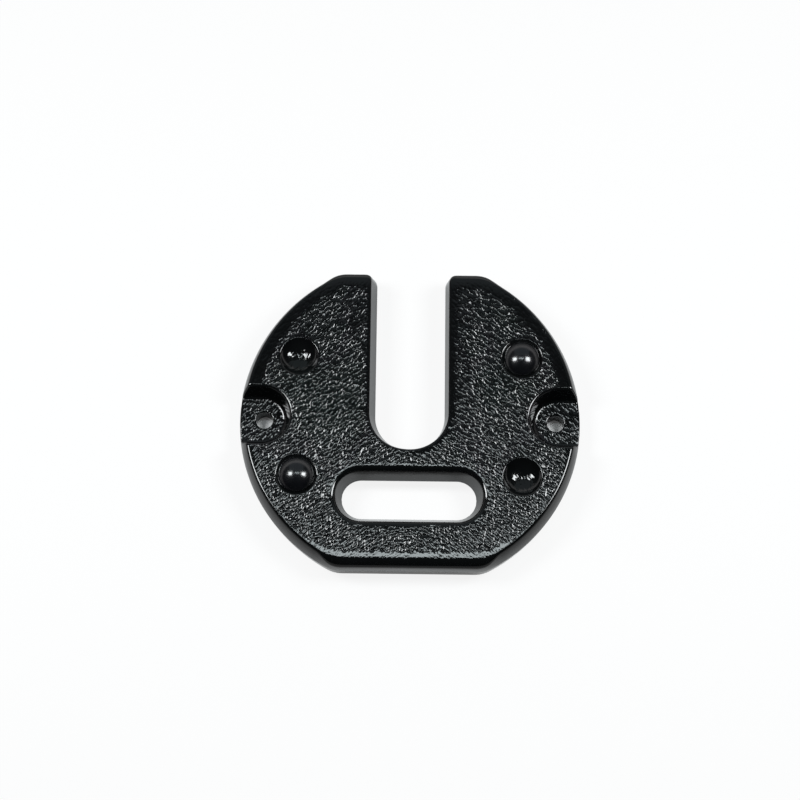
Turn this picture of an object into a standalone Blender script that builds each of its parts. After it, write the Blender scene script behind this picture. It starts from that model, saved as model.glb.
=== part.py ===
"""Weight plate for the foot of a lighting stand or canopy leg.

A heavy cast iron disc with two cropped sides, an open slot that slides round the
upright, a hand slot, two side lugs with a tie hole, and two domed studs that nest
into sockets of the next plate. Metres, +Z up. The origin is the centre of the disc
on the underside. The slot opens towards +Y and the hand slot is on the -Y side.
"""

import math

import bmesh
import bpy

MM = 0.001

# Plate
plate_radius = 150.0 * MM
end_crop = 14.7 * MM
plate_half_depth = plate_radius - end_crop
plate_height = 36.0 * MM
parting_height = plate_height / 2.0
plan_corner_radius = 30.0 * MM

# Outer wall above the parting line, drafts in degrees
rim_edge_radius = 2.6 * MM
rim_draft = 16.0
back_edge_radius = 8.4 * MM
back_draft = 9.0
front_edge_radius = 8.6 * MM
front_draft = 3.5
end_blend_length = 10.0 * MM

# Walls below the parting line
under_edge_radius = 3.0 * MM
under_draft = 6.0

# Slot for the upright
slot_width = 61.0 * MM
slot_end_y = 3.8 * MM
slot_edge_radius = 1.8 * MM
slot_draft = 10.5
slot_left_draft = 17.0
slot_mouth_radius = 10.0 * MM

# Hand slot, its width and length at the parting line
hand_slot_length = 117.0 * MM
hand_slot_width = 34.3 * MM
hand_slot_inset = 63.8 * MM
hand_slot_y = hand_slot_inset - plate_half_depth
hand_slot_edge_radius = 4.8 * MM
hand_slot_draft = 20.0

# Side lugs
tie_hole_inset = 21.5 * MM
tie_hole_x = plate_radius - tie_hole_inset
tie_hole_radius = 7.5 * MM
lug_inset = 19.3 * MM
lug_x = plate_radius - lug_inset
lug_height = 17.5 * MM
lug_floor_radius = 19.6 * MM
lug_floor_fillet = 1.6 * MM
lug_wall_draft = 16.0
lug_edge_radius = 2.4 * MM

# Nesting studs and sockets
nest_inset = 38.0 * MM
nest_angle = 28.76
nest_x = (plate_radius - nest_inset) * math.cos(math.radians(nest_angle))
nest_y = (plate_radius - nest_inset) * math.sin(math.radians(nest_angle))
stud_radius = 15.0 * MM
stud_rise = 7.6 * MM
stud_skirt = 1.6 * MM
stud_shank_radius = 6.0 * MM
stud_shank_length = 14.0 * MM
stud_seat_depth = 2.0 * MM
stud_seat_margin = 2.0 * MM
stud_tip_chamfer = 1.0 * MM
dimple_depth = 8.2 * MM
nest_side_clearance = 2.0 * MM
nest_end_clearance = 1.8 * MM
nest_mouth_radius = 1.2 * MM

# Clearances
seat_gap = 0.3 * MM
cut_overrun = 6.0 * MM

# Facets
rim_facet_angle = 3.0
corner_facet_angle = 6.0
slot_facet_angle = 7.5
turned_facets = 36
cap_facets = 7
edge_facets = 5
lug_edge_facets = 3
under_edge_facets = 3
mouth_facets = 2

material_looks = {
    "plate_enamel": ((0.012, 0.013, 0.014, 1.0), 0.28, 0.0),
    "stud_enamel": ((0.010, 0.010, 0.012, 1.0), 0.12, 0.0),
}


def clear_scene():
    for old_object in list(bpy.data.objects):
        bpy.data.objects.remove(old_object, do_unlink=True)


def new_collection(name):
    collection = bpy.data.collections.new(name)
    bpy.context.scene.collection.children.link(collection)
    return collection


def new_material(name):
    color, roughness, metallic = material_looks[name]
    material = bpy.data.materials.new(name)
    material.use_nodes = True
    shader = material.node_tree.nodes["Principled BSDF"]
    shader.inputs["Base Color"].default_value = color
    shader.inputs["Roughness"].default_value = roughness
    shader.inputs["Metallic"].default_value = metallic
    return material


def smooth_step(value):
    t = min(max(value, 0.0), 1.0)
    return t * t * (3.0 - 2.0 * t)


def shade(mesh):
    mesh.shade_smooth()
    mesh.set_sharp_from_angle(angle=math.radians(35.0))


def place(mesh, name, collection, location=(0.0, 0.0, 0.0)):
    placed = bpy.data.objects.new(name, mesh)
    placed.location = location
    collection.objects.link(placed)
    return placed


def mark_as_cutter(cutter):
    cutter.hide_render = True
    cutter.display_type = "WIRE"
    return cutter


def cut(target, cutter):
    boolean = target.modifiers.new("cut_" + cutter.name, "BOOLEAN")
    boolean.operation = "DIFFERENCE"
    boolean.solver = "EXACT"
    boolean.object = cutter


# Lofts: a stack of matching rings, closed at both ends

def loft_mesh(name, rings):
    """Skin between rings listed from the lowest to the highest, each running
    anticlockwise seen from above."""
    mesh = bpy.data.meshes.new(name)
    bm = bmesh.new()
    ring_vertices = [[bm.verts.new(point) for point in ring] for ring in rings]
    count = len(rings[0])
    for lower, upper in zip(ring_vertices, ring_vertices[1:]):
        for i in range(count):
            j = (i + 1) % count
            bm.faces.new((lower[i], lower[j], upper[j], upper[i]))
    bm.faces.new(list(reversed(ring_vertices[0])))
    bm.faces.new(ring_vertices[-1])
    bmesh.ops.remove_doubles(bm, verts=bm.verts, dist=0.001 * MM)
    bmesh.ops.dissolve_degenerate(bm, edges=bm.edges, dist=0.001 * MM)
    walls = [face for face in bm.faces if len(face.verts) == 4]
    bmesh.ops.triangulate(bm, faces=walls)
    bm.to_mesh(mesh)
    bm.free()
    shade(mesh)
    return mesh


def arc_angles(start, end, facet_angle):
    """Angles in degrees from start to end, both included."""
    count = max(2, round(abs(end - start) / facet_angle))
    return [start + (end - start) * i / count for i in range(count + 1)]


# Plate outline: every corner of the outline lies on one of these arcs

def plate_arcs():
    """Arcs of the outline at the parting line, anticlockwise from the right side.
    Each is (centre, radius, start angle, end angle, facet angle, kind)."""
    corner_y = plate_half_depth - plan_corner_radius
    corner_reach = plate_radius - plan_corner_radius
    corner_x = math.sqrt(corner_reach ** 2 - corner_y ** 2)
    turn = math.degrees(math.atan2(corner_y, corner_x))
    half_slot = slot_width / 2.0
    mouth_x = half_slot + slot_mouth_radius
    mouth_y = plate_half_depth - slot_mouth_radius
    corner = plan_corner_radius
    mouth = slot_mouth_radius
    rim = rim_facet_angle
    bend = corner_facet_angle
    return [
        ((0.0, 0.0), plate_radius, -turn, turn, rim, "rim"),
        ((corner_x, corner_y), corner, turn, 90.0, bend, "rim"),
        ((mouth_x, mouth_y), mouth, 90.0, 180.0, 30.0, "mouth"),
        ((0.0, slot_end_y), half_slot, 0.0, -180.0, slot_facet_angle, "slot"),
        ((-mouth_x, mouth_y), mouth, 0.0, 90.0, 30.0, "mouth"),
        ((-corner_x, corner_y), corner, 90.0, 180.0 - turn, bend, "rim"),
        ((0.0, 0.0), plate_radius, 180.0 - turn, 180.0 + turn, rim, "rim"),
        ((-corner_x, -corner_y), corner, 180.0 + turn, 270.0, bend, "rim"),
        ((corner_x, -corner_y), corner, 270.0, 360.0 - turn, bend, "rim"),
    ]


def wall_shape(kind, slot_share, x, y):
    """Edge radius and draft of the wall above the parting line at one place. The
    two cropped ends are rounder, for the hands, and the left wall of the slot leans
    out further than the right one."""
    blend_start = plate_half_depth - end_blend_length
    end_share = smooth_step((abs(y) - blend_start) / end_blend_length)
    if kind == "slot":
        slot_share = 1.0
        end_share = 0.0
    front_share = smooth_step(0.5 - y / plate_half_depth)
    end_edge = back_edge_radius + (front_edge_radius - back_edge_radius) * front_share
    end_draft = back_draft + (front_draft - back_draft) * front_share
    edge = rim_edge_radius + (end_edge - rim_edge_radius) * end_share
    draft = rim_draft + (end_draft - rim_draft) * end_share
    edge += (slot_edge_radius - edge) * slot_share
    left_share = smooth_step(-2.0 * x / slot_width)
    side_draft = slot_draft + (slot_left_draft - slot_draft) * left_share
    draft += (side_draft - draft) * slot_share
    return edge, draft


def wall_point(rise, edge, draft, step):
    """Point of a rounded edge above a drafted wall, as (inset, height) from the
    wall's foot. rise is the wall's height with its edge. step runs from 0 at the top
    of the plain wall to 1 at the face."""
    slope = math.radians(draft)
    turn = (math.pi / 2.0 - slope) * (1.0 - step)
    plain_height = rise - edge * (1.0 - math.sin(slope))
    inset = plain_height * math.tan(slope) + edge * math.cos(slope)
    return inset - edge * math.sin(turn), rise - edge * (1.0 - math.cos(turn))


def set_in(centre, radius, angle, kind, depth):
    """Point of an outline arc moved into the material by depth."""
    direction = (math.cos(math.radians(angle)), math.sin(math.radians(angle)))
    if kind == "slot":
        reach = radius + depth
    elif kind == "mouth" and depth > radius:
        side = math.copysign(1.0, centre[0])
        return (centre[0] + side * (depth - radius), centre[1] - (depth - radius))
    else:
        reach = radius - depth
    return (centre[0] + reach * direction[0], centre[1] + reach * direction[1])


def outline_points():
    """Outline places as (centre, radius, angle, kind, edge radius, draft)."""
    places = []
    for centre, radius, start, end, facet_angle, kind in plate_arcs():
        for angle in arc_angles(start, end, facet_angle):
            slot_share = 0.0
            if kind == "mouth":
                slot_share = abs(angle - 90.0) / 90.0
            x = centre[0] + radius * math.cos(math.radians(angle))
            y = centre[1] + radius * math.sin(math.radians(angle))
            edge, draft = wall_shape(kind, slot_share, x, y)
            places.append((centre, radius, angle, kind, edge, draft))
    return places


def under_ring(places, step):
    """Ring of the skin on the rounded edge of the underside."""
    depth, drop = wall_point(parting_height, under_edge_radius, under_draft, step)
    ring = []
    for centre, radius, angle, kind, edge, draft in places:
        x, y = set_in(centre, radius, angle, kind, depth)
        ring.append((x, y, parting_height - drop))
    return ring


def parting_ring(places):
    ring = []
    for centre, radius, angle, kind, edge, draft in places:
        x, y = set_in(centre, radius, angle, kind, 0.0)
        ring.append((x, y, parting_height))
    return ring


def over_ring(places, step):
    """Ring of the skin on the rounded edge of the face."""
    rise = plate_height - parting_height
    ring = []
    for centre, radius, angle, kind, edge, draft in places:
        depth, height = wall_point(rise, edge, draft, step)
        x, y = set_in(centre, radius, angle, kind, depth)
        ring.append((x, y, parting_height + height))
    return ring


def plate_blank_mesh():
    places = outline_points()
    under_steps = [1.0 - i / under_edge_facets for i in range(under_edge_facets + 1)]
    over_steps = [i / edge_facets for i in range(edge_facets + 1)]
    rings = [under_ring(places, step) for step in under_steps]
    rings.append(parting_ring(places))
    rings += [over_ring(places, step) for step in over_steps]
    return loft_mesh("plate_casting", rings)


# Cutters

def long_hole_ring(half_length, half_width, centre_y, height):
    """Ring of a slot with round ends, anticlockwise."""
    straight = half_length - half_width
    ring = []
    for end, start_angle in ((1.0, -90.0), (-1.0, 90.0)):
        for angle in arc_angles(start_angle, start_angle + 180.0, slot_facet_angle):
            x = end * straight + half_width * math.cos(math.radians(angle))
            y = centre_y + half_width * math.sin(math.radians(angle))
            ring.append((x, y, height))
    return ring


def hand_slot_cutter_mesh():
    """Narrowest at the parting line, and alike above and below it."""
    rise = plate_height - parting_height
    upper = []
    for i in range(edge_facets + 1):
        step = i / edge_facets
        upper.append(wall_point(rise, hand_slot_edge_radius, hand_slot_draft, step))
    upper.append((upper[-1][0], rise + cut_overrun))
    levels = [(flare, parting_height - height) for flare, height in reversed(upper)]
    levels.append((0.0, parting_height))
    levels += [(flare, parting_height + height) for flare, height in upper]
    rings = []
    for flare, height in levels:
        half_length = hand_slot_length / 2.0 + flare
        half_width = hand_slot_width / 2.0 + flare
        rings.append(long_hole_ring(half_length, half_width, hand_slot_y, height))
    return loft_mesh("hand_slot_cutter", rings)


def lug_ring(radius, side, height):
    """U-shaped ring of a lug's recess, open towards the rim on one side."""
    outer_x = plate_radius + cut_overrun
    ring = [(outer_x, -radius, height), (outer_x, radius, height)]
    for angle in arc_angles(90.0, 270.0, slot_facet_angle):
        x = lug_x + radius * math.cos(math.radians(angle))
        ring.append((x, radius * math.sin(math.radians(angle)), height))
    if side < 0.0:
        ring = [(-x, y, z) for x, y, z in reversed(ring)]
    return ring


def lug_cutter_mesh(side):
    wall_foot = lug_floor_radius + lug_floor_fillet
    foot_height = lug_height + lug_floor_fillet
    rise = plate_height - foot_height
    levels = [(lug_floor_radius, lug_height), (wall_foot, foot_height)]
    for i in range(lug_edge_facets + 1):
        step = i / lug_edge_facets
        flare, height = wall_point(rise, lug_edge_radius, lug_wall_draft, step)
        levels.append((wall_foot + flare, foot_height + height))
    levels.append((levels[-1][0], plate_height + cut_overrun))
    rings = [lug_ring(radius, side, height) for radius, height in levels]
    return loft_mesh("lug_cutter", rings)


# Turned shapes: a profile at +X, from the top down its outer side

def turned_object(name, profile, collection, location):
    mesh = bpy.data.meshes.new(name)
    points = [(radius, 0.0, height) for radius, height in profile]
    edges = [(i, i + 1) for i in range(len(points) - 1)]
    mesh.from_pydata(points, edges, [])
    turned = place(mesh, name, collection, location)
    screw = turned.modifiers.new("turn", "SCREW")
    screw.axis = "Z"
    screw.angle = math.radians(360.0)
    screw.steps = turned_facets
    screw.render_steps = turned_facets
    screw.use_merge_vertices = True
    screw.merge_threshold = 0.001 * MM
    screw.use_smooth_shade = True
    return turned


def seat_radius():
    return stud_radius + stud_seat_margin


def cap_points(base_radius, rise, base_height):
    """Profile of a round cap from its top down to its base."""
    sphere = (base_radius ** 2 + rise ** 2) / (2.0 * rise)
    half_angle = math.asin(base_radius / sphere)
    centre = base_height + rise - sphere
    points = []
    for i in range(cap_facets + 1):
        angle = half_angle * i / cap_facets
        points.append((sphere * math.sin(angle), centre + sphere * math.cos(angle)))
    return points


def stud_profile():
    """Heights are measured from the plate's face."""
    seat = -stud_seat_depth + seat_gap
    skirt_top = seat + stud_skirt
    shank_end = seat - stud_shank_length
    profile = cap_points(stud_radius, stud_rise - skirt_top, skirt_top)
    profile.append((stud_radius, seat))
    profile.append((stud_shank_radius, seat))
    profile.append((stud_shank_radius, shank_end + stud_tip_chamfer))
    profile.append((stud_shank_radius - stud_tip_chamfer, shank_end))
    profile.append((0.0, shank_end))
    return profile


def mouth_points(radius):
    """Profile of a hole's rounded mouth, from the face down into the hole."""
    points = []
    for i in range(mouth_facets + 1):
        turn = math.radians(90.0 * i / mouth_facets)
        flare = nest_mouth_radius * (1.0 - math.sin(turn))
        drop = nest_mouth_radius * (1.0 - math.cos(turn))
        points.append((radius + flare, -drop))
    return points


def stud_seat_profile():
    """Round seat with a rounded mouth, and the blind hole for the shank."""
    floor = -stud_seat_depth
    hole_radius = stud_shank_radius + seat_gap
    hole_floor = floor - stud_shank_length
    mouth = mouth_points(seat_radius())
    profile = [(0.0, cut_overrun), (mouth[0][0], cut_overrun)]
    profile += mouth
    profile += [
        (seat_radius(), floor),
        (hole_radius, floor),
        (hole_radius, hole_floor),
        (0.0, hole_floor),
    ]
    return profile


def dimple_profile():
    """Round hollow that takes the stud of a plate laid on face to face."""
    hollow = cap_points(seat_radius(), dimple_depth, 0.0)
    profile = [(0.0, cut_overrun), (seat_radius(), cut_overrun)]
    profile += [(x, -height) for x, height in reversed(hollow)]
    return profile


def nest_socket_profile():
    """Flat-bottomed socket in the underside, for the stud of the plate below."""
    radius = stud_radius + nest_side_clearance
    depth = stud_rise + nest_end_clearance
    mouth = [(x, -height) for x, height in reversed(mouth_points(radius))]
    profile = [
        (0.0, depth),
        (radius - nest_mouth_radius, depth),
        (radius, depth - nest_mouth_radius),
    ]
    profile += mouth
    profile += [(mouth[-1][0], -cut_overrun), (0.0, -cut_overrun)]
    return profile


def tie_hole_cutter(name, side, collection):
    bpy.ops.mesh.primitive_cylinder_add(
        vertices=turned_facets,
        radius=tie_hole_radius,
        depth=lug_height + 2.0 * cut_overrun,
        location=(side * tie_hole_x, 0.0, lug_height / 2.0),
    )
    cutter = bpy.context.object
    cutter.name = name
    for owner in list(cutter.users_collection):
        owner.objects.unlink(cutter)
    collection.objects.link(cutter)
    return cutter


# Assembly

def build():
    clear_scene()
    parts = new_collection("weight_plate")
    cutters = new_collection("cutters")
    plate_material = new_material("plate_enamel")
    stud_material = new_material("stud_enamel")

    casting = place(plate_blank_mesh(), "plate_casting", parts)
    casting.data.materials.append(plate_material)

    cutting = [place(hand_slot_cutter_mesh(), "hand_slot_cutter", cutters)]
    for side, side_name in ((-1.0, "left"), (1.0, "right")):
        lug_name = side_name + "_lug_cutter"
        cutting.append(place(lug_cutter_mesh(side), lug_name, cutters))
        cutting.append(tie_hole_cutter(side_name + "_tie_hole_cutter", side, cutters))

    for side, side_name in ((-1.0, "left"), (1.0, "right")):
        stud_place = (side * nest_x, side * nest_y, plate_height)
        socket_place = (side * nest_x, side * nest_y, 0.0)
        dimple_place = (side * nest_x, -side * nest_y, plate_height)
        for name, profile, location in (
            ("_stud_seat_cutter", stud_seat_profile(), stud_place),
            ("_nest_socket_cutter", nest_socket_profile(), socket_place),
            ("_dimple_cutter", dimple_profile(), dimple_place),
        ):
            cutting.append(turned_object(side_name + name, profile, cutters, location))
        stud_name = side_name + "_nesting_stud"
        stud = turned_object(stud_name, stud_profile(), parts, stud_place)
        stud.data.materials.append(stud_material)

    for cutter in cutting:
        mark_as_cutter(cutter)
        cut(casting, cutter)


build()
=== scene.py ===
"""Looks of the weight plate: thick gloss black enamel over cast iron.

The casting is skinned again with fine facets and soft arrises, with a pebble grain
on its flat faces and smooth walls. The two nesting studs are smooth and glossier.
Metres and degrees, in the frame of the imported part: +Z up, the slot opens towards +Y.
"""

import math

import bmesh
import bpy
import numpy as np
from mathutils import Matrix, Vector, noise


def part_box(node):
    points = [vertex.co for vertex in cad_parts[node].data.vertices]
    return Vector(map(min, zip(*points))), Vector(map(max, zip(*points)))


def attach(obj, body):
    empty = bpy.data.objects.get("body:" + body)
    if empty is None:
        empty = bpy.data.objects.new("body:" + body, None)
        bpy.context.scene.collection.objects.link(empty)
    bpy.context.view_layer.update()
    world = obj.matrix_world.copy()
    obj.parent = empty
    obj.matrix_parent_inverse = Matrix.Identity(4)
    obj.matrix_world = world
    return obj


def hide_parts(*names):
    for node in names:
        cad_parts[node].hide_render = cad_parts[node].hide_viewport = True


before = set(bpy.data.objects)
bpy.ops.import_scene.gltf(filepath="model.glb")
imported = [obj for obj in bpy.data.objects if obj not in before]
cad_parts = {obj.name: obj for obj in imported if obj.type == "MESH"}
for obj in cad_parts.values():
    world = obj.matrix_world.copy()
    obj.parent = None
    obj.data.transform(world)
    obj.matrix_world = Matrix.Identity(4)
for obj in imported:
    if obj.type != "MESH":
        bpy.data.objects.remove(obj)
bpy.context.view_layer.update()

MM = 0.001

# Sizes of the casting and its studs, as in the part's source
casting_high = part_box("plate_casting")[1]
plate_radius = casting_high.x
plate_half_depth = casting_high.y
plate_height = casting_high.z
parting_height = plate_height / 2.0
upper_height = plate_height - parting_height
plan_corner_radius = 30.0 * MM
corner_reach = plate_radius - plan_corner_radius
corner_y = plate_half_depth - plan_corner_radius
corner_x = math.sqrt(corner_reach ** 2 - corner_y ** 2)
corner_turn = math.atan2(corner_y, corner_x)
rim_edge_radius = 2.6 * MM
rim_draft = 16.0
back_edge_radius = 8.4 * MM
back_draft = 9.0
front_edge_radius = 8.6 * MM
front_draft = 3.5
end_blend_length = 10.0 * MM
under_edge_radius = 3.0 * MM
under_draft = 6.0
slot_width = 61.0 * MM
slot_end_y = 3.8 * MM
slot_edge_radius = 1.8 * MM
slot_draft = 10.5
slot_left_draft = 17.0
slot_mouth_radius = 10.0 * MM
hand_slot_length = 117.0 * MM
hand_slot_width = 34.3 * MM
hand_slot_straight = (hand_slot_length - hand_slot_width) / 2.0
hand_slot_inset = 63.8 * MM
hand_slot_y = hand_slot_inset - plate_half_depth
hand_slot_edge_radius = 4.8 * MM
hand_slot_draft = 20.0
tie_hole_inset = 21.5 * MM
tie_hole_x = plate_radius - tie_hole_inset
tie_hole_radius = 7.5 * MM
lug_inset = 19.3 * MM
lug_x = plate_radius - lug_inset
lug_height = 17.5 * MM
lug_floor_radius = 19.6 * MM
lug_floor_fillet = 1.6 * MM
lug_wall_draft = 16.0
lug_edge_radius = 2.4 * MM
nest_inset = 38.0 * MM
nest_reach = plate_radius - nest_inset
nest_angle = 28.76
nest_x = nest_reach * math.cos(math.radians(nest_angle))
nest_y = nest_reach * math.sin(math.radians(nest_angle))
stud_radius = 15.0 * MM
stud_rise = 7.6 * MM
stud_skirt = 1.6 * MM
stud_edge = 0.5 * MM
stud_shank_radius = 6.0 * MM
stud_shank_length = 14.0 * MM
seat_radius = 17.0 * MM
seat_depth = 2.0 * MM
seat_gap = 0.3 * MM
dimple_depth = 8.2 * MM
socket_side_gap = 2.0 * MM
socket_end_gap = 1.8 * MM
socket_radius = stud_radius + socket_side_gap
socket_depth = stud_rise + socket_end_gap
nest_mouth_radius = 1.2 * MM
cut_overrun = 6.0 * MM
weld_distance = 0.001 * MM

# Fineness of the visible skin
facet_angle = 1.5
small_facet_angle = 3.0 * facet_angle
cutter_facet_angle = 2.0 * facet_angle
edge_facets = 10
turned_facets = 96
cap_facets = 20
mouth_facets = 5
skin_step = 0.9 * MM
skin_smoothing = 2
skin_softness = 0.5
wall_facets = 6
wall_swell = 0.5 * MM
wall_swell_share = 0.3
stud_sharp_angle = 40.0

# Grain of the plate's enamel
grain_size = 3.2 * MM
grain_height = 0.68 * MM
grain_level = 0.06
grain_power = 2.4
grain_smoothness = 0.2
grain_lean = 0.75
grain_lean_round = 15.0 * MM
grain_squeeze = 1.2
grain_drift = 3.0 * MM
grain_drift_scale = 130.0
swell_size = 4.0 * MM
swell_height = 0.2 * MM
patch_scale = 55.0
patch_noise_low = 0.3
patch_noise_high = 0.7
patch_weakest = 0.6
patch_strongest = 1.2
flow_scale = 120.0
flow_height = 0.05 * MM

# Colour and gloss of both enamels
plate_dark_tint = (0.0020, 0.0023, 0.0024, 1.0)
plate_pale_tint = (0.0038, 0.0042, 0.0044, 1.0)
plate_roughness = (0.06, 0.12)
plate_ior = 1.56
stud_dark_tint = (0.0026, 0.0028, 0.0036, 1.0)
stud_pale_tint = (0.0050, 0.0054, 0.0066, 1.0)
stud_roughness = (0.14, 0.26)
stud_ior = 1.7
stud_peel_scale = 190.0
stud_peel_height = 0.10 * MM

# Where the grain lies: on the flat faces, and thinner in a margin along their edges.
# The rim's margin narrows towards the front and widens again at the front end.
flat_normal_low = 0.988
flat_normal_high = 0.998
end_zone = 30.0 * MM
front_zone = 60.0 * MM
rim_margin = 12.0 * MM
rim_margin_front_loss = 10.5 * MM
rim_margin_end_gain = 14.0 * MM
rim_cover = 0.15
slot_right_margin = 10.0 * MM
slot_left_margin = 3.0 * MM
slot_cover = 0.1
hand_slot_margin = 3.0 * MM
hand_slot_cover = 0.3
stud_margin = 4.0 * MM
dimple_margin = 3.0 * MM
dimple_grain_radius = 9.0 * MM
dimple_plain_radius = 13.0 * MM
dimple_cover = 0.5
lug_cover = 0.6
level_slack = 2.0 * MM

# Sag of the top face towards its edges, and its slow waves
rim_sag_width = 12.0 * MM
rim_sag = 0.03 * MM
back_end_sag = 0.34 * MM
slot_sag_width = 5.0 * MM
slot_sag = 0.04 * MM
hand_slot_sag_width = 5.0 * MM
hand_slot_sag = 0.2 * MM
sag_none_depth = 9.0 * MM
sag_full_depth = 1.0 * MM
wave_scale = 22.0
wave_layer = 3.0
wave_height = 0.06 * MM
wave_none_depth = 1.0 * MM
wave_full_depth = 0.2 * MM

# Floor
floor_half_width = 6.0
floor_tint = (0.9, 0.9, 0.9, 1.0)
floor_roughness = 0.9
floor_white_share = 0.86
# Painted reflection: in gloss the floor glows, white near the plate and dim away from it
painted_reflection_near_share = 0.3
painted_reflection_far_share = 0.6
painted_reflection_near_glow = 0.85
painted_reflection_far_glow = 0.2
floor_fade_start = 0.85 * plate_radius
floor_fade_end = 1.35 * plate_radius
hole_shade_radius = 14.0 * MM
hole_white_share = 0.06

# Room: a panel high at the back and a white horizon, by direction
room_radiance = 0.01
panel_radiance = 0.24
panel_tint = (0.80, 0.93, 1.0)
panel_low = 0.30
panel_high = 0.45
panel_side_start = 0.52
panel_side_end = 0.62
panel_side_share = 0.1
horizon_radiance = 0.6
horizon_low = 0.04
horizon_high = 0.20
horizon_lean = 0.2

# Lamps over the plate, with places and sizes in degrees as seen from it
lamp_distance = 1.3
energy_per_radiance = 4.0
softbox_radiance = 15.0
softbox_tint = (0.95, 0.99, 1.0)
softbox_aside = 36.0
softbox_back = 6.0
softbox_width = 20.0
softbox_depth = 17.0
band_radiance = 6.8
band_tint = (0.88, 0.98, 1.0)
band_back = 6.9
band_width = 22.0
band_depth = 4.8

# Camera, from the photograph
camera_elevation = 73.0
camera_azimuth = 0.7
camera_distance = 1.8267
camera_target = Vector((-8.9 * MM, 14.4 * MM, plate_height))
photo_width = 800
focal_pixels = 2087.3


# Meshes

def loft_mesh(name, rings):
    """Skin between rings listed from the lowest to the highest, each running
    anticlockwise seen from above."""
    mesh = bpy.data.meshes.new(name)
    bm = bmesh.new()
    loops = [[bm.verts.new(point) for point in ring] for ring in rings]
    count = len(rings[0])
    for lower, upper in zip(loops, loops[1:]):
        for i in range(count):
            j = (i + 1) % count
            bm.faces.new((lower[i], lower[j], upper[j], upper[i]))
    bm.faces.new(list(reversed(loops[0])))
    bm.faces.new(loops[-1])
    bmesh.ops.remove_doubles(bm, verts=bm.verts, dist=weld_distance)
    bmesh.ops.dissolve_degenerate(bm, edges=bm.edges, dist=weld_distance)
    bm.to_mesh(mesh)
    bm.free()
    return mesh


def turned_mesh(name, profile):
    """Closed solid turned about Z. The profile runs from the top down its outer
    side, as (radius, height), and starts and ends on the axis."""
    mesh = bpy.data.meshes.new(name)
    bm = bmesh.new()
    top = bm.verts.new((0.0, 0.0, profile[0][1]))
    bottom = bm.verts.new((0.0, 0.0, profile[-1][1]))
    loops = []
    for radius, height in profile[1:-1]:
        loop = []
        for i in range(turned_facets):
            angle = 2.0 * math.pi * i / turned_facets
            loop.append(bm.verts.new((radius * math.cos(angle), radius * math.sin(angle), height)))
        loops.append(loop)
    for i in range(turned_facets):
        j = (i + 1) % turned_facets
        bm.faces.new((top, loops[0][i], loops[0][j]))
        for upper, lower in zip(loops, loops[1:]):
            bm.faces.new((upper[i], lower[i], lower[j], upper[j]))
        bm.faces.new((bottom, loops[-1][j], loops[-1][i]))
    bm.to_mesh(mesh)
    bm.free()
    return mesh


def place(mesh, name, location=(0.0, 0.0, 0.0)):
    placed = bpy.data.objects.new(name, mesh)
    placed.location = location
    bpy.context.scene.collection.objects.link(placed)
    return placed


def arc_angles(start, end, step):
    count = max(2, round(abs(end - start) / step))
    return [start + (end - start) * i / count for i in range(count + 1)]


def round_point(centre, radius, degrees):
    turn = math.radians(degrees)
    return centre[0] + radius * math.cos(turn), centre[1] + radius * math.sin(turn)


def smooth_step(value):
    """Smooth rise from 0 to 1, for one number or for an array."""
    t = np.clip(value, 0.0, 1.0)
    return t * t * (3.0 - 2.0 * t)


def eased(value, low, high):
    return smooth_step((value - low) / (high - low))


def blend(start, end, share):
    return start + (end - start) * share


# Casting

def plate_arcs():
    """Arcs of the outline at the parting line, anticlockwise from the right side.
    Each is (centre, radius, start angle, end angle, kind)."""
    turn = math.degrees(corner_turn)
    half_slot = slot_width / 2.0
    mouth_x = half_slot + slot_mouth_radius
    mouth_y = plate_half_depth - slot_mouth_radius
    corner = plan_corner_radius
    mouth = slot_mouth_radius
    return [
        ((0.0, 0.0), plate_radius, -turn, turn, "rim"),
        ((corner_x, corner_y), corner, turn, 90.0, "rim"),
        ((mouth_x, mouth_y), mouth, 90.0, 180.0, "mouth"),
        ((0.0, slot_end_y), half_slot, 0.0, -180.0, "slot"),
        ((-mouth_x, mouth_y), mouth, 0.0, 90.0, "mouth"),
        ((-corner_x, corner_y), corner, 90.0, 180.0 - turn, "rim"),
        ((0.0, 0.0), plate_radius, 180.0 - turn, 180.0 + turn, "rim"),
        ((-corner_x, -corner_y), corner, 180.0 + turn, 270.0, "rim"),
        ((corner_x, -corner_y), corner, 270.0, 360.0 - turn, "rim"),
    ]


def wall_shape(kind, slot_share, x, y):
    """Edge radius and draft of the wall above the parting line at one place."""
    blend_start = plate_half_depth - end_blend_length
    end_share = smooth_step((abs(y) - blend_start) / end_blend_length)
    if kind == "slot":
        slot_share = 1.0
        end_share = 0.0
    front_share = smooth_step(0.5 - y / plate_half_depth)
    left_share = smooth_step(-2.0 * x / slot_width)
    edge = blend(rim_edge_radius, blend(back_edge_radius, front_edge_radius, front_share), end_share)
    draft = blend(rim_draft, blend(back_draft, front_draft, front_share), end_share)
    side_draft = blend(slot_draft, slot_left_draft, left_share)
    return blend(edge, slot_edge_radius, slot_share), blend(draft, side_draft, slot_share)


def wall_point(rise, edge, draft, step):
    """Point of a rounded edge above a drafted wall, as (inset, height)."""
    slope = math.radians(draft)
    turn = (math.pi / 2.0 - slope) * (1.0 - step)
    plain_height = rise - edge * (1.0 - math.sin(slope))
    inset = plain_height * math.tan(slope) + edge * math.cos(slope)
    return inset - edge * math.sin(turn), rise - edge * (1.0 - math.cos(turn))


def set_in(centre, radius, angle, kind, depth):
    """Point of an outline arc moved into the material by depth."""
    if kind == "mouth" and depth > radius:
        side = math.copysign(1.0, centre[0])
        return centre[0] + side * (depth - radius), centre[1] - (depth - radius)
    return round_point(centre, radius + depth if kind == "slot" else radius - depth, angle)


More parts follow.
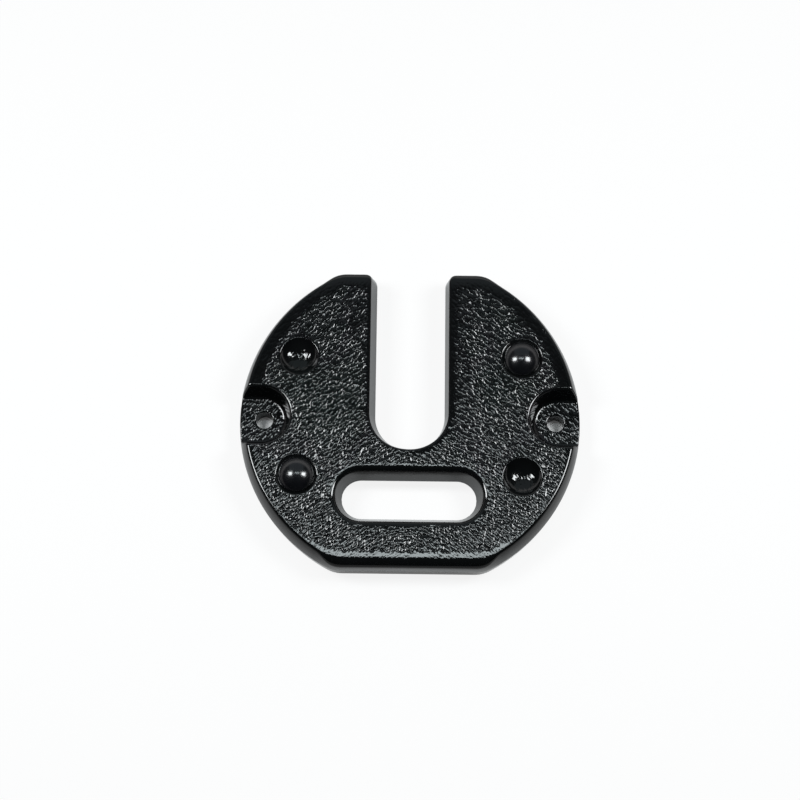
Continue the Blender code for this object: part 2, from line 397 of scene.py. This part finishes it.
def outline_places():
    places = []
    for centre, radius, start, end, kind in plate_arcs():
        step = facet_angle if radius > plan_corner_radius else small_facet_angle
        for angle in arc_angles(start, end, step):
            slot_share = abs(angle - 90.0) / 90.0 if kind == "mouth" else 0.0
            edge, draft = wall_shape(kind, slot_share, *round_point(centre, radius, angle))
            places.append((centre, radius, angle, kind, edge, draft))
    return places


def plate_ring(places, half, step, wall_share=1.0):
    """One ring of the skin on a rounded edge. half is -1 under the parting line,
    0 on it and 1 over it. A wall share under 1 puts it on the plain wall, which
    swells a little, like a sand mould's."""
    ring = []
    for centre, radius, angle, kind, edge, draft in places:
        depth, height = 0.0, 0.0
        if half < 0:
            depth, height = wall_point(upper_height, under_edge_radius, under_draft, step)
        elif half > 0:
            depth, height = wall_point(upper_height, edge, draft, step)
            swell = min(wall_swell, wall_swell_share * depth) if kind == "rim" else 0.0
            depth = depth * wall_share - swell * math.sin(math.pi * wall_share)
            height *= wall_share
        x, y = set_in(centre, radius, angle, kind, depth)
        ring.append((x, y, parting_height + half * height))
    return ring


def plate_blank_mesh():
    places = outline_places()
    steps = [i / edge_facets for i in range(edge_facets + 1)]
    rings = [plate_ring(places, -1, step) for step in reversed(steps)]
    rings.append(plate_ring(places, 0, 0.0))
    rings += [plate_ring(places, 1, 0.0, i / wall_facets) for i in range(1, wall_facets)]
    rings += [plate_ring(places, 1, step) for step in steps]
    return loft_mesh("plate_body", rings)


def hand_slot_cutter():
    upper = []
    for i in range(edge_facets + 1):
        step = i / edge_facets
        upper.append(wall_point(upper_height, hand_slot_edge_radius, hand_slot_draft, step))
    upper.append((upper[-1][0], upper_height + cut_overrun))
    levels = [(flare, parting_height - height) for flare, height in reversed(upper)]
    levels.append((0.0, parting_height))
    levels += [(flare, parting_height + height) for flare, height in upper]
    rings = []
    for flare, height in levels:
        reach = hand_slot_width / 2.0 + flare
        ring = []
        for end, start_angle in ((1.0, -90.0), (-1.0, 90.0)):
            for angle in arc_angles(start_angle, start_angle + 180.0, cutter_facet_angle):
                x, y = round_point((end * hand_slot_straight, hand_slot_y), reach, angle)
                ring.append((x, y, height))
        rings.append(ring)
    return loft_mesh("hand_slot_cutter", rings)


def lug_cutter(side):
    wall_foot = lug_floor_radius + lug_floor_fillet
    foot_height = lug_height + lug_floor_fillet
    levels = []
    for i in range(edge_facets + 1):
        turn = math.pi / 2.0 * i / edge_facets
        levels.append((
            lug_floor_radius + lug_floor_fillet * math.sin(turn),
            lug_height + lug_floor_fillet * (1.0 - math.cos(turn)),
        ))
    for i in range(edge_facets + 1):
        rise = plate_height - foot_height
        flare, height = wall_point(rise, lug_edge_radius, lug_wall_draft, i / edge_facets)
        levels.append((wall_foot + flare, foot_height + height))
    levels.append((levels[-1][0], plate_height + cut_overrun))
    outer_x = plate_radius + cut_overrun
    rings = []
    for radius, height in levels:
        ring = [(outer_x, -radius, height), (outer_x, radius, height)]
        for angle in arc_angles(90.0, 270.0, cutter_facet_angle):
            x, y = round_point((lug_x, 0.0), radius, angle)
            ring.append((x, y, height))
        if side < 0.0:
            ring = [(-x, y, z) for x, y, z in reversed(ring)]
        rings.append(ring)
    return loft_mesh("lug_cutter", rings)


def cap_points(base_radius, rise, base_height):
    """Profile of a round cap from its top down to its base."""
    sphere = (base_radius ** 2 + rise ** 2) / (2.0 * rise)
    half_angle = math.asin(base_radius / sphere)
    centre = base_height + rise - sphere
    points = []
    for i in range(cap_facets + 1):
        angle = half_angle * i / cap_facets
        points.append((sphere * math.sin(angle), centre + sphere * math.cos(angle)))
    return points


def mouth_points(radius):
    """Profile of a hole's rounded mouth, from the face down into the hole."""
    points = []
    for i in range(mouth_facets + 1):
        turn = math.pi / 2.0 * i / mouth_facets
        flare = nest_mouth_radius * (1.0 - math.sin(turn))
        points.append((radius + flare, -nest_mouth_radius * (1.0 - math.cos(turn))))
    return points


def stud_seat_cutter():
    hole = stud_shank_radius + seat_gap
    floor = -seat_depth
    mouth = mouth_points(seat_radius)
    profile = [(0.0, cut_overrun), (mouth[0][0], cut_overrun)] + mouth
    profile += [(seat_radius, floor), (hole, floor)]
    profile += [(hole, floor - stud_shank_length), (0.0, floor - stud_shank_length)]
    return turned_mesh("stud_seat_cutter", profile)


def dimple_cutter():
    hollow = [(x, -height) for x, height in reversed(cap_points(seat_radius, dimple_depth, 0.0))]
    mouth = (seat_radius + nest_mouth_radius / 2.0, nest_mouth_radius / 3.0)
    profile = [(0.0, cut_overrun), (mouth[0], cut_overrun), mouth] + hollow
    return turned_mesh("dimple_cutter", profile)


def socket_cutter():
    mouth = [(x, -height) for x, height in reversed(mouth_points(socket_radius))]
    profile = [
        (0.0, socket_depth),
        (socket_radius - nest_mouth_radius, socket_depth),
        (socket_radius, socket_depth - nest_mouth_radius),
    ]
    profile += mouth + [(mouth[-1][0], -cut_overrun), (0.0, -cut_overrun)]
    return turned_mesh("socket_cutter", profile)


def tie_hole_cutter():
    profile = [(0.0, lug_height + cut_overrun), (tie_hole_radius, lug_height + cut_overrun)]
    profile += [(tie_hole_radius, -cut_overrun), (0.0, -cut_overrun)]
    return turned_mesh("tie_hole_cutter", profile)


def casting_cutters():
    """Cutter objects of the casting, which are removed once the skin is made."""
    cutters = [place(hand_slot_cutter(), "hand_slot_cutter")]
    for side in (-1.0, 1.0):
        face = (side * nest_x, side * nest_y, plate_height)
        cutters.append(place(lug_cutter(side), "lug_cutter"))
        cutters.append(place(tie_hole_cutter(), "tie_hole_cutter", (side * tie_hole_x, 0.0, 0.0)))
        cutters.append(place(stud_seat_cutter(), "stud_seat_cutter", face))
        cutters.append(place(dimple_cutter(), "dimple_cutter", (face[0], -face[1], plate_height)))
        cutters.append(place(socket_cutter(), "socket_cutter", (face[0], face[1], 0.0)))
    return cutters


def baked(made):
    """Mesh of an object with its modifiers applied."""
    bpy.context.view_layer.update()
    graph = bpy.context.evaluated_depsgraph_get()
    return bpy.data.meshes.new_from_object(made.evaluated_get(graph))


def casting_skin():
    """Fine skin of the casting with arrises as soft as thick enamel leaves them."""
    body = place(plate_blank_mesh(), "plate_body")
    cutters = casting_cutters()
    for cutter in cutters:
        boolean = body.modifiers.new("cut", "BOOLEAN")
        boolean.operation = "DIFFERENCE"
        boolean.solver = "EXACT"
        boolean.object = cutter
    remesh = body.modifiers.new("skin", "REMESH")
    remesh.mode = "VOXEL"
    remesh.voxel_size = skin_step
    smooth = body.modifiers.new("soften", "SMOOTH")
    smooth.factor = skin_softness
    smooth.iterations = skin_smoothing
    mesh = baked(body)
    body.modifiers.clear()
    body.data = mesh
    for cutter in cutters:
        bpy.data.objects.remove(cutter)
    finish_surface(mesh)
    mesh.shade_smooth()
    return body


# Studs

def stud_mesh():
    seat = -seat_depth + seat_gap
    skirt_top = seat + stud_skirt
    shank_end = seat - stud_shank_length
    profile = cap_points(stud_radius, stud_rise - skirt_top, skirt_top)
    profile += [(stud_radius, seat + stud_edge), (stud_radius - stud_edge, seat)]
    profile += [(stud_shank_radius, seat), (stud_shank_radius, shank_end + stud_edge)]
    profile += [(stud_shank_radius - stud_edge, shank_end), (0.0, shank_end)]
    mesh = turned_mesh("nesting_stud", profile)
    mesh.shade_smooth()
    mesh.set_sharp_from_angle(angle=math.radians(stud_sharp_angle))
    return mesh


# Surface of the casting

def outer_depth(x, y):
    """How far points lie inside the outline at the parting line."""
    across, along = np.abs(x) - corner_x, np.abs(y) - corner_y
    rim = plate_radius - np.hypot(x, y)
    end = plate_half_depth - np.abs(y)
    corner = plan_corner_radius - np.hypot(across, along)
    in_corner = (across > 0.0) & (np.arctan2(along, across) > corner_turn)
    return np.where(in_corner, corner, np.where(across > 0.0, rim, np.minimum(rim, end)))


def slot_depth(x, y):
    """How far points lie from the wall of the open slot."""
    beside = np.abs(x) - slot_width / 2.0
    around = np.hypot(x, y - slot_end_y) - slot_width / 2.0
    return np.where(y > slot_end_y, beside, around)


def hand_slot_depth(x, y):
    """How far points lie from the wall of the hand slot."""
    beyond = np.maximum(np.abs(x) - hand_slot_straight, 0.0)
    return np.hypot(beyond, y - hand_slot_y) - hand_slot_width / 2.0


def face_inset(edge, draft):
    """How far the top face starts inside the outline at the parting line."""
    return wall_point(upper_height, edge, draft, 1.0)[0]


def sink(depth, width, drop):
    """Sag of the face towards an edge: drop at the edge and none at width."""
    share = np.clip(1.0 - depth / width, 0.0, 1.0)
    return drop * share * share


def edge_depths(x, y):
    """How far points of the top face lie from its rim, its slot and its hand slot."""
    end_share = eased(np.abs(y), plate_half_depth - end_blend_length, plate_half_depth)
    rim_inset = face_inset(rim_edge_radius, rim_draft)
    back_inset = face_inset(back_edge_radius, back_draft)
    front_inset = face_inset(front_edge_radius, front_draft)
    end_inset = np.where(y < 0.0, front_inset, back_inset)
    outer = outer_depth(x, y) - blend(rim_inset, end_inset, end_share)
    slot_inset = face_inset(slot_edge_radius, slot_draft)
    slot_left_inset = face_inset(slot_edge_radius, slot_left_draft)
    left_share = eased(-x, 0.0, slot_width / 2.0)
    slot = slot_depth(x, y) - blend(slot_inset, slot_left_inset, left_share)
    hand = hand_slot_depth(x, y) - face_inset(hand_slot_edge_radius, hand_slot_draft)
    return outer, slot, hand


def rising(least, depth, low, high):
    """Cover that rises from least at low to full at high."""
    return blend(least, 1.0, eased(depth, low, high))


def grain_cover(x, y, z, flat, near_end):
    """Share of the grain's height that each point has."""
    outer, slot, hand = edge_depths(x, y)
    margin = rim_margin - rim_margin_front_loss * eased(-y, 0.0, front_zone)
    margin = np.where(y < 0.0, margin + rim_margin_end_gain * near_end, margin)
    slot_margin = np.where(x > 0.0, slot_right_margin, slot_left_margin)
    cover = flat * rising(rim_cover, outer, 0.5 * margin, margin)
    cover *= rising(slot_cover, slot, 0.0, slot_margin)
    cover *= rising(hand_slot_cover, hand, 0.0, hand_slot_margin)
    on_face = z > plate_height - level_slack
    for side in (-1.0, 1.0):
        stud = np.hypot(x - side * nest_x, y - side * nest_y)
        cover *= eased(stud, seat_radius, seat_radius + stud_margin)
        dimple = np.hypot(x - side * nest_x, y + side * nest_y)
        cover *= np.where(on_face, eased(dimple, seat_radius, seat_radius + dimple_margin), 1.0)
        bottom = dimple_cover * (1.0 - eased(dimple, dimple_grain_radius, dimple_plain_radius))
        cover = np.maximum(cover, np.where(z > parting_height, bottom, 0.0))
    return np.where(np.abs(z - parting_height) < level_slack, lug_cover * flat, cover)


def sagged(x, y, z, flat, near_end):
    """Heights of points once the top face sags towards its edges and waves a little."""
    outer, slot, hand = edge_depths(x, y)
    end_sag = np.where(y > 0.0, back_end_sag * near_end, 0.0)
    sag = sink(outer, rim_sag_width, rim_sag + end_sag)
    sag += sink(slot, slot_sag_width, slot_sag)
    sag += sink(hand, hand_slot_sag_width, hand_slot_sag)
    sag *= eased(z, plate_height - sag_none_depth, plate_height - sag_full_depth)
    waves = np.array([
        noise.noise(Vector((px * wave_scale, py * wave_scale, wave_layer))) for px, py in zip(x, y)
    ])
    top = flat * eased(z, plate_height - wave_none_depth, plate_height - wave_full_depth)
    return np.maximum(z - sag - wave_height * (waves + 1.0) * top, 0.0)


def finish_surface(mesh):
    """Marks where the grain lies, and sags the top face towards its edges."""
    points = np.empty(len(mesh.vertices) * 3)
    normals = np.empty(len(mesh.vertices) * 3)
    mesh.vertices.foreach_get("co", points)
    mesh.vertex_normals.foreach_get("vector", normals)
    points = points.reshape(-1, 3)
    x, y, z = points.T
    flat = eased(np.abs(normals[2::3]), flat_normal_low, flat_normal_high)
    near_end = eased(np.abs(y), plate_half_depth - end_zone, plate_half_depth)

    cover = grain_cover(x, y, z, flat, near_end)
    attribute = mesh.attributes.new("grain_cover", "FLOAT", "POINT")
    attribute.data.foreach_set("value", cover.astype(np.float32))
    points[:, 2] = sagged(x, y, z, flat, near_end)
    mesh.vertices.foreach_set("co", points.reshape(-1))
    mesh.update()


# Materials

def add_node(tree, kind, **settings):
    made = tree.nodes.new(kind)
    for name, value in settings.items():
        setattr(made, name, value)
    return made


def feed(socket, value):
    """Gives an input either another node's output or a constant."""
    if isinstance(value, bpy.types.NodeSocket):
        socket.id_data.links.new(value, socket)
    else:
        socket.default_value = value


def maths(tree, operation, *values):
    """Output of a maths node on numbers."""
    made = add_node(tree, "ShaderNodeMath", operation=operation)
    for socket, value in zip(made.inputs, values):
        feed(socket, value)
    return made.outputs["Value"]


def vector_maths(tree, operation, *values):
    """Outputs of a maths node on vectors."""
    made = add_node(tree, "ShaderNodeVectorMath", operation=operation)
    for socket, value in zip(made.inputs, values):
        feed(socket, value)
    return made.outputs


def ramp(tree, source, low, high, start, end, shape="SMOOTHSTEP"):
    """Runs from start, where the source is low, to end, where it is high."""
    made = add_node(tree, "ShaderNodeMapRange", interpolation_type=shape)
    feed(made.inputs["Value"], source)
    feed(made.inputs["From Min"], low)
    feed(made.inputs["From Max"], high)
    feed(made.inputs["To Min"], start)
    feed(made.inputs["To Max"], end)
    return made.outputs["Result"]


def noise_texture(tree, place_on_it, scale, detail):
    made = add_node(tree, "ShaderNodeTexNoise")
    feed(made.inputs["Vector"], place_on_it)
    feed(made.inputs["Scale"], scale)
    feed(made.inputs["Detail"], detail)
    return made.outputs


def bumped(tree, height, distance):
    """Bump node for a height. Its Normal input takes the bump that lies under it."""
    made = add_node(tree, "ShaderNodeBump")
    feed(made.inputs["Height"], height)
    feed(made.inputs["Distance"], distance)
    return made


def new_material(name):
    material = bpy.data.materials.new(name)
    material.use_nodes = True
    tree = material.node_tree
    return material, tree, tree.nodes["Principled BSDF"]


def uneven_coat(tree, shader, ior, tints, tint_share, roughness, roughness_share):
    """Colour and gloss that drift between two values each."""
    tint = add_node(tree, "ShaderNodeMix", data_type="RGBA")
    feed(tint.inputs["Factor"], tint_share)
    feed(tint.inputs["A"], tints[0])
    feed(tint.inputs["B"], tints[1])
    feed(shader.inputs["IOR"], ior)
    feed(shader.inputs["Base Color"], tint.outputs["Result"])
    feed(shader.inputs["Roughness"], ramp(tree, roughness_share, 0.0, 1.0, *roughness, "LINEAR"))


def wrinkles(tree, coordinates):
    """Height of the grain: short worms that lean towards the middle."""
    axes = add_node(tree, "ShaderNodeSeparateXYZ")
    feed(axes.inputs[0], coordinates)
    square = maths(tree, "MULTIPLY", axes.outputs["X"], axes.outputs["X"])
    aside = maths(tree, "SQRT", maths(tree, "ADD", square, grain_lean_round ** 2))
    combed = add_node(tree, "ShaderNodeCombineXYZ")
    feed(combed.inputs["X"], maths(tree, "MULTIPLY", axes.outputs["X"], grain_squeeze))
    feed(combed.inputs["Y"], maths(tree, "MULTIPLY_ADD", aside, grain_lean, axes.outputs["Y"]))
    feed(combed.inputs["Z"], axes.outputs["Z"])
    drift = noise_texture(tree, coordinates, grain_drift_scale, 1.0)["Color"]
    reach = (grain_drift, grain_drift, grain_drift)
    drifted = vector_maths(tree, "MULTIPLY_ADD", drift, reach, combed.outputs[0])["Vector"]

    cells = add_node(tree, "ShaderNodeTexVoronoi", feature="SMOOTH_F1")
    feed(cells.inputs["Vector"], drifted)
    feed(cells.inputs["Scale"], 1.0 / grain_size)
    feed(cells.inputs["Smoothness"], grain_smoothness)
    feed(cells.inputs["Randomness"], 1.0)
    domed = maths(tree, "POWER", cells.outputs["Distance"], grain_power)
    sunk = maths(tree, "SUBTRACT", grain_level, domed)
    swell = noise_texture(tree, drifted, 1.0 / swell_size, 0.0)["Fac"]
    swell_centred = maths(tree, "SUBTRACT", swell, 0.5)
    return maths(tree, "MULTIPLY_ADD", swell_centred, swell_height / grain_height, sunk)


def plate_enamel():
    """Thick gloss enamel: a patchy grain where it is marked, and a slow flow all over."""
    material, tree, shader = new_material("plate_enamel_look")
    coordinates = add_node(tree, "ShaderNodeTexCoord").outputs["Object"]
    cover = add_node(tree, "ShaderNodeAttribute", attribute_name="grain_cover").outputs["Fac"]
    patches = noise_texture(tree, coordinates, patch_scale, 1.0)["Fac"]
    flow = noise_texture(tree, coordinates, flow_scale, 2.0)["Fac"]
    strength = ramp(
        tree, patches, patch_noise_low, patch_noise_high, patch_weakest, patch_strongest, "LINEAR"
    )
    share = maths(tree, "MULTIPLY", strength, cover)
    height = maths(tree, "MULTIPLY", wrinkles(tree, coordinates), share)
    grain_bump = bumped(tree, height, grain_height)
    feed(grain_bump.inputs["Normal"], bumped(tree, flow, flow_height).outputs["Normal"])
    feed(shader.inputs["Normal"], grain_bump.outputs["Normal"])
    tints = (plate_dark_tint, plate_pale_tint)
    uneven_coat(tree, shader, plate_ior, tints, patches, plate_roughness, flow)
    return material


def stud_enamel():
    """Smooth gloss enamel with a faint peel."""
    material, tree, shader = new_material("stud_enamel_look")
    coordinates = add_node(tree, "ShaderNodeTexCoord").outputs["Object"]
    peel = noise_texture(tree, coordinates, stud_peel_scale, 2.0)["Fac"]
    feed(shader.inputs["Normal"], bumped(tree, peel, stud_peel_height).outputs["Normal"])
    tints = (stud_dark_tint, stud_pale_tint)
    uneven_coat(tree, shader, stud_ior, tints, peel, stud_roughness, peel)
    return material


# Studio

def floor_place(tree):
    """Place on the floor. The floor's own middle is under the plate's."""
    return add_node(tree, "ShaderNodeTexCoord").outputs["Object"]


def floor_fade(tree, near, far):
    """Runs from near, close to the plate, to far, well away from it."""
    away = vector_maths(tree, "LENGTH", floor_place(tree))["Value"]
    return ramp(tree, away, floor_fade_start, floor_fade_end, near, far)


def background_share(tree):
    """Share of white glow that the camera, gloss and glass see in the floor. In gloss it is a
    painted reflection.
    The floor under the tie holes shows its own shade, as it does in the photograph."""
    path = add_node(tree, "ShaderNodeLightPath").outputs
    direct = maths(tree, "MAXIMUM", path["Is Camera Ray"], path["Is Transmission Ray"])
    white = maths(tree, "MULTIPLY", direct, floor_white_share)
    # painted reflection: share of glow that gloss sees, growing away from the plate
    reflected = floor_fade(tree, painted_reflection_near_share, painted_reflection_near_share + painted_reflection_far_share)
    total = maths(tree, "MULTIPLY_ADD", path["Is Glossy Ray"], reflected, white)
    folded = vector_maths(tree, "ABSOLUTE", floor_place(tree))["Vector"]
    from_hole = vector_maths(tree, "DISTANCE", folded, (tie_hole_x, 0.0, 0.0))["Value"]
    clear = ramp(tree, from_hole, tie_hole_radius, hole_shade_radius, hole_white_share, 1.0)
    return maths(tree, "MULTIPLY", total, clear)


def background_strength(tree):
    """White to the camera. In gloss it is a painted reflection that darkens away from the plate."""
    # painted reflection: glow that gloss sees, bright near the plate and dim away from it
    fade = floor_fade(tree, painted_reflection_near_glow, painted_reflection_far_glow)
    path = add_node(tree, "ShaderNodeLightPath").outputs
    return maths(tree, "MAXIMUM", fade, path["Is Camera Ray"])


def floor_material():
    """Pale floor that shows nearly white, and keeps the shadow of the plate. In gloss its glow is a
    painted reflection.
    """
    material, tree, shader = new_material("floor_look")
    feed(shader.inputs["Base Color"], floor_tint)
    feed(shader.inputs["Roughness"], floor_roughness)
    feed(shader.inputs["Specular IOR Level"], 0.0)
    glow = add_node(tree, "ShaderNodeEmission")
    feed(glow.inputs["Strength"], background_strength(tree))
    mix = add_node(tree, "ShaderNodeMixShader")
    feed(mix.inputs[0], background_share(tree))
    feed(mix.inputs[1], shader.outputs[0])
    feed(mix.inputs[2], glow.outputs[0])
    feed(tree.nodes["Material Output"].inputs["Surface"], mix.outputs[0])
    return material


def studio_air():
    """Dark room over a white horizon, with a dim cool panel high at the back."""
    world = bpy.data.worlds.new("studio_air")
    world.use_nodes = True
    tree = world.node_tree
    axes = add_node(tree, "ShaderNodeSeparateXYZ")
    feed(axes.inputs[0], add_node(tree, "ShaderNodeTexCoord").outputs["Generated"])
    across, along, up = axes.outputs
    lifted = ramp(tree, along, panel_low, panel_high, room_radiance, panel_radiance)
    aside = maths(tree, "ABSOLUTE", across)
    trimmed = ramp(tree, aside, panel_side_start, panel_side_end, 1.0, panel_side_share)
    panel = add_node(tree, "ShaderNodeVectorMath", operation="SCALE")
    feed(panel.inputs[0], panel_tint)
    feed(panel.inputs["Scale"], maths(tree, "MULTIPLY", lifted, trimmed))
    height = maths(tree, "MULTIPLY_ADD", along, -horizon_lean, up)
    horizon = ramp(tree, height, horizon_low, horizon_high, horizon_radiance, 0.0)
    lit = vector_maths(tree, "MAXIMUM", panel.outputs["Vector"], horizon)["Vector"]
    path = add_node(tree, "ShaderNodeLightPath").outputs
    seen = vector_maths(tree, "MAXIMUM", lit, path["Is Camera Ray"])["Vector"]
    feed(tree.nodes["Background"].inputs["Color"], seen)
    bpy.context.scene.world = world


def studio():
    floor = place(bpy.data.meshes.new("floor"), "floor")
    bm = bmesh.new()
    bmesh.ops.create_grid(bm, x_segments=1, y_segments=1, size=floor_half_width)
    bm.to_mesh(floor.data)
    bm.free()
    floor.data.materials.append(floor_material())
    studio_air()


def lamp_span(degrees):
    """Length that fills an angle at the lamps' distance."""
    return 2.0 * lamp_distance * math.tan(math.radians(degrees / 2.0))


def softbox(name, aside, back, width, depth, radiance, tint):
    """Area lamp over the plate that faces it and shows at the given radiance.
    aside and back are degrees from straight up, width and depth the degrees it fills."""
    towards = Vector((math.tan(math.radians(aside)), math.tan(math.radians(back)), 1.0)).normalized()
    lamp = bpy.data.lights.new(name, "AREA")
    lamp.shape = "RECTANGLE"
    lamp.size = lamp_span(width)
    lamp.size_y = lamp_span(depth)
    lamp.energy = radiance * energy_per_radiance * lamp.size * lamp.size_y
    lamp.color = tint
    holder = bpy.data.objects.new(name, lamp)
    bpy.context.scene.collection.objects.link(holder)
    holder.location = Vector((0.0, 0.0, plate_height)) + towards * lamp_distance
    right = Vector((0.0, 1.0, 0.0)).cross(towards).normalized()
    up = towards.cross(right)
    holder.rotation_euler = Matrix((right, up, towards)).transposed().to_euler()
    holder.visible_camera = False


def lamps():
    """Two softboxes aside of the plate, and a narrow band behind its middle."""
    for side, side_name in ((-1.0, "left"), (1.0, "right")):
        softbox(
            side_name + "_softbox", side * softbox_aside, softbox_back,
            softbox_width, softbox_depth, softbox_radiance, softbox_tint,
        )
    softbox("band_softbox", 0.0, band_back, band_width, band_depth, band_radiance, band_tint)


def camera():
    turn = math.radians(camera_azimuth)
    tilt = math.radians(camera_elevation)
    back = Vector((
        math.sin(turn) * math.cos(tilt),
        -math.cos(turn) * math.cos(tilt),
        math.sin(tilt),
    ))
    data = bpy.data.cameras.new("camera")
    data.sensor_width = 36.0
    data.lens = focal_pixels / photo_width * data.sensor_width
    data.clip_start = 0.05
    data.clip_end = 50.0
    made = bpy.data.objects.new("camera", data)
    bpy.context.scene.collection.objects.link(made)
    made.location = camera_target + back * camera_distance
    made.rotation_euler = (-back).to_track_quat("-Z", "Y").to_euler()
    bpy.context.scene.camera = made


# Making

plate_material = plate_enamel()
stud_material = stud_enamel()

body = casting_skin()
body.data.materials.clear()
body.data.materials.append(plate_material)
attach(body, "root")
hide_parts("plate_casting")

for side, side_name in ((-1.0, "left"), (1.0, "right")):
    stud = place(stud_mesh(), side_name + "_stud_dome", (side * nest_x, side * nest_y, plate_height))
    stud.data.materials.append(stud_material)
    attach(stud, "root")
    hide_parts(side_name + "_nesting_stud")

studio()
camera()
lamps()
bpy.context.scene.view_settings.view_transform = "Standard"
